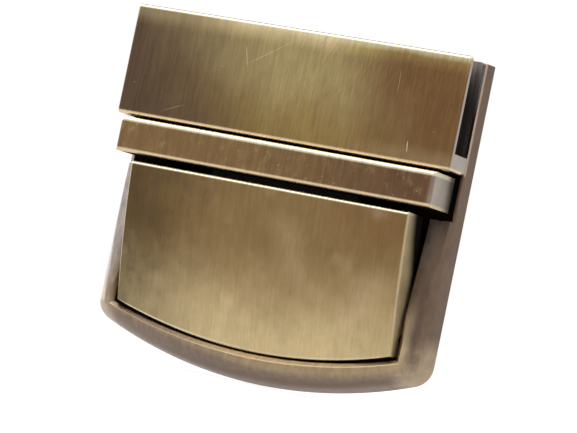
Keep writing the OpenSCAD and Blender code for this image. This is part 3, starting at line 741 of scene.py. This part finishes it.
def base_plating(nodes, at, cloud):
    """Plating of the base: painted shade beside the opening, gray below and pale silver at the left as
    painted reflection.
    """
    f = finishes()
    sway = nodes.times(nodes.math("SUBTRACT", cloud, 0.5), 3 * MM)
    colour = nodes.blend(nodes.ramp(cloud, 0.35, 0.75, 0.0, 0.5), f.antique, f.antique_dark)
    # Painted shade on the rim beside the opening
    rim = nodes.times(
        nodes.ramp(at.aside, 3.0 * MM, 1.8 * MM, 0.0, 0.9),
        nodes.ramp(at.height, -19 * MM, -13 * MM),
        nodes.ramp(at.height, 3 * MM, -11 * MM),
    )
    colour = nodes.blend(rim, colour, f.antique_dark)
    low = nodes.times(
        nodes.ramp(nodes.math("ADD", at.height, sway), -15 * MM, -20 * MM, 0.0, 0.9),
        nodes.ramp(at.depth, 2.6 * MM, 0.8 * MM, 0.15, 1.0),
    )
    colour = nodes.blend(low, colour, f.antique_gray)
    bare = nodes.times(
        nodes.ramp(at.height, -9 * MM, 1 * MM),
        nodes.ramp(at.aside, 3.0 * MM, 0.6 * MM, 0.0, 0.85),
        nodes.ramp(at.height, 4 * MM, 3 * MM),
    )
    colour = nodes.blend(bare, colour, f.antique_gray)
    # Painted reflection: paler at the left
    left = nodes.times(
        nodes.ramp(nodes.math("ADD", at.left, sway), 21 * MM, 23 * MM, 0.0, 0.9),
        nodes.ramp(at.height, -22 * MM, -16 * MM, 0.3, 1.0),
        nodes.ramp(at.front, 0.05 * MM, 0.6 * MM, 0.1, 1.0),
    )
    return nodes.blend(left, colour, f.antique_silver)


def base_wear_and_sheen(nodes, at, cloud, colour):
    """Adds the tan round the opening's foot, painted shade along its left foot, painted highlights at the
    lower corners and along the tray's border.
    """
    f = finishes()
    reach = nodes.ramp(at.right, -14 * MM, 8 * MM, 1.3 * MM, 2.6 * MM)
    foot = nodes.times(
        nodes.ramp(at.below, reach, nodes.times(reach, 0.5)), nodes.ramp(at.aside, 2.2 * MM, 0.6 * MM)
    )
    side = nodes.times(nodes.ramp(at.aside, 0.75 * MM, 0.4 * MM), nodes.ramp(at.below, 1.2 * MM, 0.4 * MM))
    tan = nodes.times(
        nodes.math("MAXIMUM", foot, side),
        nodes.ramp(at.height, -6 * MM, -14 * MM),
        nodes.ramp(at.right, -20 * MM, 4 * MM, 0.45, 1.0),
        nodes.ramp(at.depth, 1.6 * MM, 1.0 * MM),
    )
    colour = nodes.blend(tan, colour, f.antique_tan)
    colour = nodes.blend(nodes.ramp(at.below, 2.3 * MM, 3.4 * MM, 0.0, 0.6), colour, f.brown_brass)
    # Painted shade: a dark line along the opening's foot at the left
    flare = nodes.times(
        nodes.ramp(at.below, 0.75 * MM, 0.5 * MM, 0.0, 0.5),
        nodes.ramp(at.aside, 0.4 * MM, 0.0),
        nodes.ramp(at.right, -2 * MM, -14 * MM),
    )
    colour = nodes.blend(flare, colour, f.antique_dark)
    # Painted highlight at the lower corners
    corner = nodes.times(
        nodes.ramp(at.wide, 20 * MM, 22.3 * MM),
        nodes.ramp(at.height, -12.5 * MM, -16 * MM, 0.0, 0.4),
        nodes.ramp(cloud, 0.3, 0.6),
    )
    colour = nodes.blend(corner, colour, f.wear_and_sheen)
    # Painted highlight along the tray's border
    off_line = nodes.math("ABSOLUTE", nodes.math("SUBTRACT", at.wide, BORDER_LINE))
    line = nodes.times(
        nodes.ramp(off_line, 0.16 * MM, 0.08 * MM), nodes.ramp(at.height, 8.6 * MM, 9.2 * MM), 0.85
    )
    return nodes.blend(line, colour, f.peach)


def base_painted_shade(nodes, at):
    """Black painted shade in the cavity behind the press plate, in the tray and in the gap at the bar's left
    end.
    """
    # Where no painted shade goes: the wall at the left foot
    left_foot_unshaded = nodes.times(
        nodes.ramp(at.below, -0.4 * MM, -0.1 * MM),
        nodes.ramp(at.aside, 0.0, -0.8 * MM),
        nodes.ramp(at.right, 3 * MM, -6 * MM),
    )
    cavity = nodes.times(
        nodes.ramp(at.depth, 0.8 * MM, 1.6 * MM),
        nodes.ramp(nodes.math("MAXIMUM", at.aside, at.below), 0.12 * MM, 0.06 * MM),
        nodes.math("SUBTRACT", 1.0, left_foot_unshaded),
        nodes.ramp(at.height, 5 * MM, 4 * MM),
    )
    tray = nodes.times(
        nodes.ramp(at.wide, TRAY_HALF + 0.1 * MM, TRAY_HALF),
        nodes.ramp(at.depth, 3.25 * MM, 3.5 * MM),
        nodes.ramp(at.wide, 13 * MM, 21 * MM, 0.25, 1.0),
        nodes.ramp(at.height, 2.0 * MM, 2.6 * MM),
    )
    gap = nodes.times(
        nodes.ramp(at.height, 6.5 * MM, 7.5 * MM),
        nodes.ramp(at.height, 10.5 * MM, 9.5 * MM),
        nodes.ramp(at.left, 15 * MM, 20 * MM),
        nodes.ramp(at.front, 2.2 * MM, 2.35 * MM),
    )
    hidden = nodes.math("MAXIMUM", nodes.math("MAXIMUM", cavity, tray), gap)
    return nodes.times(hidden, nodes.ramp(at.depth, 5.2 * MM, 4.6 * MM))


def base_finish():
    """Satin brown plating of the base: pale at the left as painted reflection, gray below, tan round the
    opening, black painted shade inside.
    """
    nodes = FinishNodes("base_antique_brass")
    at = BasePlace(nodes)
    cloud = nodes.noise((150.0, 150.0, 150.0), detail=5.0, roughness=0.6)
    grain = nodes.noise((1500.0, 1500.0, 500.0), detail=4.0)
    colour = base_wear_and_sheen(nodes, at, cloud, base_plating(nodes, at, cloud))
    colour = shaded(nodes, colour, nodes.ramp(grain, 0.25, 0.75, 0.86, 1.14))
    colour = nodes.blend(nodes.times(nodes.dots(600.0, 0.08, 0.2), 0.3), colour, finishes().wear_and_sheen)
    colour = paint_shade(nodes, colour, base_painted_shade(nodes, at))
    nodes.relief(grain, 0.12, 0.012 * MM)
    return nodes.metal(colour, nodes.ramp(grain, 0.2, 0.8, 0.32, 0.46))


def steel_finish(name, colour, scale, low_roughness, high_roughness, contrast=0.12, dark=None):
    """Plated or bare steel with a rolled grain and dull spots, with black painted shade beyond a place along
    a direction.
    """
    nodes = FinishNodes(name)
    grain = nodes.noise(scale, detail=4.0, roughness=0.65)
    cloud = nodes.noise((220.0, 220.0, 220.0), detail=4.0)
    both = nodes.math("ADD", grain, cloud)
    tint = shaded(nodes, colour, nodes.ramp(both, 0.6, 1.4, 1.0 - contrast, 1.0 + contrast))
    if dark:
        direction, place = dark
        tint = paint_depth_shade(nodes, tint, nodes.along(direction, place), 0.0, 0.2 * MM)
    nodes.relief(grain, 0.15, 0.01 * MM)
    return nodes.metal(tint, nodes.ramp(cloud, 0.3, 0.7, low_roughness, high_roughness))


def tongue_finish():
    """Plated sheet of the tongue, with painted shade low down and painted light towards its top, rubbed along
    its cut ends.
    """
    f = finishes()
    nodes = FinishNodes("tongue_plated_sheet")
    low, high = FLAP_BOX
    grain = nodes.noise((1500.0, 60.0, 60.0), detail=4.0, roughness=0.65)
    height = nodes.along((0, 0, 1), low)
    down = nodes.along((0, 0, -1), high)
    # Painted light and shade: dark at the bottom, gray above, lighter near the top
    colour = nodes.blend(nodes.ramp(height, 0.5 * MM, 2.5 * MM), f.sheet, f.slot_back)
    colour = nodes.blend(nodes.ramp(down, 8 * MM, 0.5 * MM), colour, f.sheet_top)
    wide = nodes.math("ABSOLUTE", nodes.along((1, 0, 0)))
    ends = nodes.ramp(wide, high.x - 0.1 * MM, high.x - 0.04 * MM)
    block = nodes.ramp(height, 2.5 * MM, 2.3 * MM)
    colour = nodes.blend(nodes.times(ends, block), colour, f.gray_end)
    above_block = nodes.math("SUBTRACT", 1.0, block)
    # Painted shade on the ends above the block
    colour = paint_shade(nodes, colour, nodes.times(ends, above_block, nodes.ramp(down, 1 * MM, 8 * MM, 0.8, 1.0)))
    # Painted shade low on the sheet, below the flap piece
    colour = paint_shade(nodes, colour, nodes.ramp(height, -4.2 * MM, -5.0 * MM, 0.0, 0.75))
    nodes.relief(grain, 0.15, 0.01 * MM)
    colour = shaded(nodes, colour, nodes.ramp(grain, 0.3, 0.7, 0.85, 1.15))
    return nodes.metal(colour, nodes.ramp(grain, 0.3, 0.7, 0.32, 0.45))


def zinc_finish():
    """Zinc-plated steel, made once."""
    made = bpy.data.materials.get("zinc_steel")
    return made or steel_finish("zinc_steel", finishes().zinc, (900.0, 900.0, 200.0), 0.3, 0.42)


def spring_finish():
    """Dark spring steel, made once."""
    made = bpy.data.materials.get("spring_steel")
    return made or steel_finish("spring_steel", finishes().spring_steel, (700.0, 700.0, 700.0), 0.28, 0.4)


def pin_finish():
    """Steel of the hinge pin, painted black as shade where it shows in the gap."""
    return steel_finish("pin_shade_black_steel", finishes().shade_black, (700.0, 700.0, 700.0), 0.45, 0.6)


# Pieces


class ClaspPiece(bpy.types.Operator):
    """Base of the operators below: each makes one piece or a group of like pieces."""

    bl_options = {"REGISTER", "UNDO"}

    def execute(self, context):
        """Builds the piece; an error in it stops the script."""
        self.build()
        return {"FINISHED"}


class CLASP_OT_base_casting(ClaspPiece):
    """Cast base with its rim, tray and fixing holes."""

    bl_idname = "clasp.base_casting"
    bl_label = "Base casting"

    def build(self):
        edge = sizes().base_edge
        dressed("base_frame", "base_casting", base_finish(), edge, "base", segments=4)


class CLASP_OT_bar(ClaspPiece):
    """Bar that bridges the tongue."""

    bl_idname = "clasp.bar"
    bl_label = "Bridge bar"

    def build(self):
        dressed("bridge_bar", "bar", bar_finish(), sizes().sheet_edge, "base")


class CLASP_OT_flap_piece(ClaspPiece):
    """Slotted flap piece and the tongue plate behind its leather slot."""

    bl_idname = "clasp.flap_piece"
    bl_label = "Flap piece"

    def build(self):
        edge = sizes().sheet_edge
        dressed("flap_front", "flap_channel", flap_finish(), edge, "flap")
        dressed("tongue_plate", "tongue", tongue_finish(), edge, "flap")


class CLASP_OT_press(ClaspPiece):
    """Hinged press plate."""

    bl_idname = "clasp.press"
    bl_label = "Press plate"

    def build(self):
        dressed("press_plate", "press_cover", press_finish(), sizes().edge, "press")


class CLASP_OT_rear_cover(ClaspPiece):
    """Sheet that closes the mechanism at the back."""

    bl_idname = "clasp.rear_cover"
    bl_label = "Rear cover"

    def build(self):
        # Painted shade: the cover is black on its faces inside the clasp
        behind = ((0, -1, 0), (0.0, -0.4 * MM, 0.0))
        finish = steel_finish(
            "back_zinc_sheet", finishes().zinc, (60.0, 60.0, 1600.0), 0.3, 0.44, 0.18, dark=behind
        )
        dressed("rear_cover", "back_sheet", finish, sizes().sheet_edge, "base")


class CLASP_OT_screws(ClaspPiece):
    """Countersunk screws of the bar, the cover and the flap piece."""

    bl_idname = "clasp.screws"
    bl_label = "Screws"

    # Node, piece, body, height of the head and radius of the shank
    sets = (
        ("bridge_screws", "bar_screw", "base", 0.8 * MM, 1.0 * MM),
        ("cover_screws", "cover_screw", "base", 0.5 * MM, 0.7 * MM),
        ("flap_screws", "flap_screw", "flap", 0.5 * MM, 0.7 * MM),
    )

    def build(self):
        for node, name, body, head_height, shank in self.sets:
            boxes = loose_boxes(node)
            first = self.model(name + "_1", boxes[0], head_height, shank)
            for count, box in enumerate(boxes, 1):
                step = box[0] - boxes[0][0]
                obj = first if count == 1 else moved_copy(first, f"{name}_{count}", step)
                settle(obj, body, node)

    def model(self, name, box, head_height, shank):
        """One screw, drawn out from the rim of its head to its tip."""
        low, high = box
        head = (high.x - low.x) / 2
        length = high.y - low.y
        start = Vector(((low.x + high.x) / 2, high.y, (low.z + high.z) / 2))
        tip = shank * 0.6
        obj = turned(name, start, (0, -1, 0), (
            (0.0, head - SCREW_RIM), (SCREW_RIM, head), (head_height, shank),
            (length - tip, shank), (length, shank - tip * 0.7),
        ))
        slot = sizes().screw_slot * head
        cut_box(
            obj,
            start + Vector((-head * 1.1, -head_height * 0.55, -slot / 2)),
            start + Vector((head * 1.1, head_height, slot / 2)),
        )
        obj.data.materials.clear()
        obj.data.materials.append(zinc_finish())
        round_edges(obj, sizes().screw_edge, segments=2)
        return obj


class CLASP_OT_rivets(ClaspPiece):
    """Rivets that hold the catch leaf."""

    bl_idname = "clasp.rivets"
    bl_label = "Leaf rivets"

    def build(self):
        boxes = loose_boxes("catch_rivets")
        low, high = boxes[0]
        head = (high.x - low.x) / 2
        length = high.y - low.y
        shank = head * 0.56
        start = Vector(((low.x + high.x) / 2, high.y, (low.z + high.z) / 2))
        dome = ((0.0, head * 0.35), (0.07 * MM, head * 0.7), (0.2 * MM, head * 0.93), (RIVET_HEAD, head))
        mirrored = tuple((length - along, radius) for along, radius in reversed(dome))
        rings = dome + ((RIVET_HEAD, shank), (length - RIVET_HEAD, shank)) + mirrored
        first = turned("leaf_rivet_1", start, (0, -1, 0), rings)
        first.data.materials.append(zinc_finish())
        smooth(first)
        second = moved_copy(first, "leaf_rivet_2", boxes[1][0] - low)
        for obj in (first, second):
            settle(obj, "base", "catch_rivets")


class CLASP_OT_hinge_pin(ClaspPiece):
    """Hinge pin, which keeps its CAD shape."""

    bl_idname = "clasp.hinge_pin"
    bl_label = "Hinge pin"

    def build(self):
        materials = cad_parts["hinge_pin"].data.materials
        materials.clear()
        materials.append(pin_finish())


class CLASP_OT_springs(ClaspPiece):
    """Return springs and catch leaf: smoothed copies that take the place of their CAD nodes."""

    bl_idname = "clasp.springs"
    bl_label = "Springs"

    def build(self):
        pin_low, pin_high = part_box("hinge_pin")
        pin_depth = (pin_low.y + pin_high.y) / 2
        leaf_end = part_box("catch_spring")[0].z
        wound = ((0.0, pin_depth + COIL_REACH, 0.0), (0.0, pin_depth - COIL_REACH, 0.0))
        bent = ((0.0, 0.0, leaf_end + LEAF_ARM), (0.0, 0.0, leaf_end + LEAF_TIP))
        for node, name, (start, end) in (
            ("return_spring_left", "left_return_spring", wound),
            ("return_spring_right", "right_return_spring", wound),
            ("catch_spring", "catch_leaf", bent),
        ):
            obj = merged_copy(node, name)
            obj.data.materials.append(spring_finish())
            smooth(obj)
            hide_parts(node)
            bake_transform(obj)


# Stage


class CLASP_OT_stage(ClaspPiece):
    """Camera, lights, white room and pale floor."""

    bl_idname = "clasp.stage"
    bl_label = "Stage"

    def build(self):
        stage = bpy.context.scene.clasp_stage
        self.camera(stage)
        self.room(stage)
        self.floor(stage)
        self.softbox("overhead_softbox", SOFTBOX_PLACE, SOFTBOX_SIZE, stage.overhead)
        bpy.context.scene.view_settings.view_transform = "Standard"

    def camera(self, stage):
        """The camera at the photograph's viewing angle."""
        azimuth, elevation = stage.azimuth, stage.elevation
        back = Vector((
            math.sin(azimuth) * math.cos(elevation),
            -math.cos(azimuth) * math.cos(elevation),
            math.sin(elevation),
        ))
        right = Vector((math.cos(azimuth), math.sin(azimuth), 0.0))
        up = back.cross(right)
        place = back * stage.distance + right * stage.aim_right + up * stage.aim_up
        place.z += stage.aim_low
        rolled_right = right * math.cos(stage.roll) + up * math.sin(stage.roll)
        rolled_up = up * math.cos(stage.roll) - right * math.sin(stage.roll)
        data = bpy.data.cameras.new("camera")
        data.sensor_width = SENSOR_WIDTH
        data.sensor_fit = "HORIZONTAL"
        data.lens = stage.lens
        data.clip_start = 0.01
        data.clip_end = 10.0
        camera = bpy.data.objects.new("camera", data)
        turn = Matrix((rolled_right, rolled_up, back)).transposed()
        camera.matrix_world = Matrix.Translation(place) @ turn.to_4x4()
        bpy.context.scene.collection.objects.link(camera)
        bpy.context.scene.camera = camera

    def room(self, stage):
        """A white room: plain for matt surfaces, and darker in front where the metal mirrors it."""
        world = bpy.data.worlds.new("white_room")
        world.use_nodes = True
        bpy.context.scene.world = world
        nodes = TreeNodes(world.node_tree)
        nodes.tree.nodes.clear()
        rays = nodes.add("ShaderNodeLightPath")
        looking = nodes.add("ShaderNodeTexCoord").outputs["Generated"]
        front = self.lobe(nodes, looking, (-0.3, -1.0, 0.1), 0.1, 0.95, 1.0, stage.front_dim)
        left = self.lobe(nodes, looking, (-1.0, 0.35, 0.0), 0.45, 0.85, 0.0, stage.left_light)
        above = self.lobe(nodes, looking, (-0.2, -0.2, 1.0), 0.3, 0.75, 0.0, stage.top_light)
        mirrored = self.white(nodes, nodes.math("ADD", front, nodes.math("ADD", left, above)))
        lit = self.mix(nodes, rays.outputs["Is Glossy Ray"], self.white(nodes, stage.ambient), mirrored)
        shown = self.mix(nodes, rays.outputs["Is Camera Ray"], lit, self.white(nodes, 1.0))
        nodes.put(nodes.add("ShaderNodeOutputWorld").inputs["Surface"], shown)

    def lobe(self, nodes, looking, towards, start, end, away, facing):
        """Light of the room, from its level away from a direction to its level in that direction."""
        dot = nodes.add("ShaderNodeVectorMath", operation="DOT_PRODUCT")
        nodes.put(dot.inputs[0], looking)
        nodes.put(dot.inputs[1], Vector(towards).normalized())
        return nodes.ramp(dot.outputs["Value"], start, end, away, facing)

    def white(self, nodes, strength):
        """A white background of this strength."""
        node = nodes.add("ShaderNodeBackground")
        nodes.put(node.inputs["Color"], (1.0, 1.0, 1.0, 1.0))
        nodes.put(node.inputs["Strength"], strength)
        return node.outputs[0]

    def matt(self, nodes, level):
        """A matt gray surface."""
        node = nodes.add("ShaderNodeBsdfDiffuse")
        nodes.put(node.inputs["Color"], (level, level, level, 1.0))
        return node.outputs[0]

    def mix(self, nodes, factor, first, second):
        """A mix of two shaders."""
        node = nodes.add("ShaderNodeMixShader")
        for socket, value in zip(node.inputs, (factor, first, second)):
            nodes.put(socket, value)
        return node.outputs[0]

    def floor(self, stage):
        """A pale floor under the clasp, which glows to white and keeps a soft shadow."""
        bpy.ops.object.select_all(action="DESELECT")
        bpy.ops.mesh.primitive_plane_add(size=FLOOR_SIZE, location=(0.0, 0.0, BASE_BOX[0].z))
        floor = bpy.context.active_object
        floor.name = "floor"
        material = bpy.data.materials.new("pale_floor")
        material.use_nodes = True
        nodes = TreeNodes(material.node_tree)
        nodes.tree.nodes.clear()
        rays = nodes.add("ShaderNodeLightPath")
        glow = nodes.add("ShaderNodeEmission")
        nodes.put(glow.inputs["Strength"], stage.floor_glow)
        both = nodes.add("ShaderNodeAddShader")
        nodes.put(both.inputs[0], self.matt(nodes, stage.floor_matt))
        nodes.put(both.inputs[1], glow.outputs[0])
        seen = nodes.math("MAXIMUM", rays.outputs["Is Camera Ray"], rays.outputs["Is Glossy Ray"])
        shown = self.mix(nodes, seen, self.matt(nodes, stage.floor_bounce), both.outputs[0])
        nodes.put(nodes.add("ShaderNodeOutputMaterial").inputs["Surface"], shown)
        floor.data.materials.append(material)

    def softbox(self, name, place, size, brightness):
        """A rectangular area light that points at the clasp."""
        data = bpy.data.lights.new(name, "AREA")
        data.shape = "RECTANGLE"
        data.size, data.size_y = size
        data.energy = brightness * math.pi * size[0] * size[1]
        light = bpy.data.objects.new(name, data)
        light.location = place
        light.rotation_euler = (-Vector(place)).to_track_quat("-Z", "Y").to_euler()
        bpy.context.scene.collection.objects.link(light)


class VIEW3D_PT_clasp(bpy.types.Panel):
    """Sidebar panel with the sizes, colours and operators of the clasp."""

    bl_label = "Briefcase Clasp"
    bl_space_type = "VIEW_3D"
    bl_region_type = "UI"
    bl_category = "Clasp"

    def draw(self, context):
        """Lists the settings and the operators."""
        for group in (context.scene.clasp_finishes, context.scene.clasp_sizes, context.scene.clasp_stage):
            box = self.layout.box()
            for name in group.bl_rna.properties.keys():
                if name not in {"rna_type", "name"}:
                    box.prop(group, name)
        for operator in PIECES:
            self.layout.operator(operator.bl_idname)


PIECES = (
    CLASP_OT_stage,
    CLASP_OT_base_casting,
    CLASP_OT_bar,
    CLASP_OT_flap_piece,
    CLASP_OT_press,
    CLASP_OT_rear_cover,
    CLASP_OT_screws,
    CLASP_OT_rivets,
    CLASP_OT_hinge_pin,
    CLASP_OT_springs,
)
SETTINGS = (("clasp_finishes", ClaspFinishes), ("clasp_sizes", ClaspSizes), ("clasp_stage", ClaspStage))


def register():
    """Registers the settings, the operators and the panel."""
    for name, group in SETTINGS:
        bpy.utils.register_class(group)
        setattr(bpy.types.Scene, name, PointerProperty(type=group))
    for operator in PIECES:
        bpy.utils.register_class(operator)
    bpy.utils.register_class(VIEW3D_PT_clasp)


def unregister():
    """Removes what register added."""
    bpy.utils.unregister_class(VIEW3D_PT_clasp)
    for operator in reversed(PIECES):
        bpy.utils.unregister_class(operator)
    for name, group in reversed(SETTINGS):
        delattr(bpy.types.Scene, name)
        bpy.utils.unregister_class(group)


def main():
    """Builds the pieces and the stage."""
    register()
    for operator in PIECES:
        category, name = operator.bl_idname.split(".")
        getattr(getattr(bpy.ops, category), name)()


if __name__ == "__main__":
    main()
